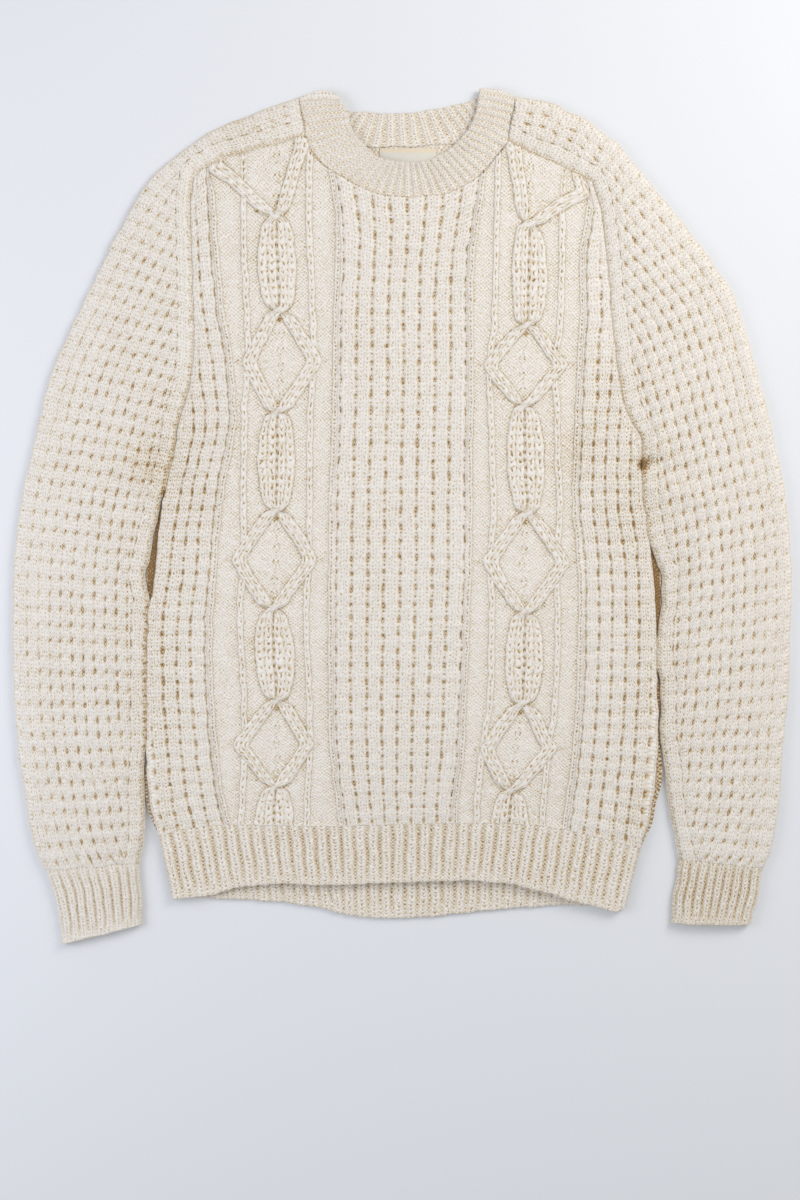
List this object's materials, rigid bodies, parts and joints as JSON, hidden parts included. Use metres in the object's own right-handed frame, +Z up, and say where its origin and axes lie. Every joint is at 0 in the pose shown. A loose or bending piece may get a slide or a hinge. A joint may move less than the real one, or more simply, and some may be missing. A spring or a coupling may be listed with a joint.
{
  "type": "cable knit sweater",
  "caption": "Cream cable knit pullover in waffle stitch, ropes and diamonds, with saddle shoulders and ribbed neck, hem and cuffs, laid flat on its back.",
  "frame": {"origin": "on the surface the sweater lies on, under the middle of its bounding box", "axes": "+X to the viewer's right (the wearer's left), +Y from the hem to the neck, +Z up out of the front"},
  "size_m": [0.7024, 0.7697, 0.0127],
  "materials": {
    "body_knit": "undyed cream wool, chunky knit",
    "rib_knit": "undyed cream wool, ribbed",
    "label_satin": "bare satin ribbon"
  },
  "bodies": {
    "root": {"front_panel": "body_knit", "back_panel": "body_knit", "left_sleeve": "body_knit", "right_sleeve": "body_knit", "neckband": "rib_knit", "front_hem_rib": "rib_knit", "back_hem_rib": "rib_knit", "left_cuff": "rib_knit", "right_cuff": "rib_knit", "neck_label": "label_satin"}
  },
  "joints": []
}
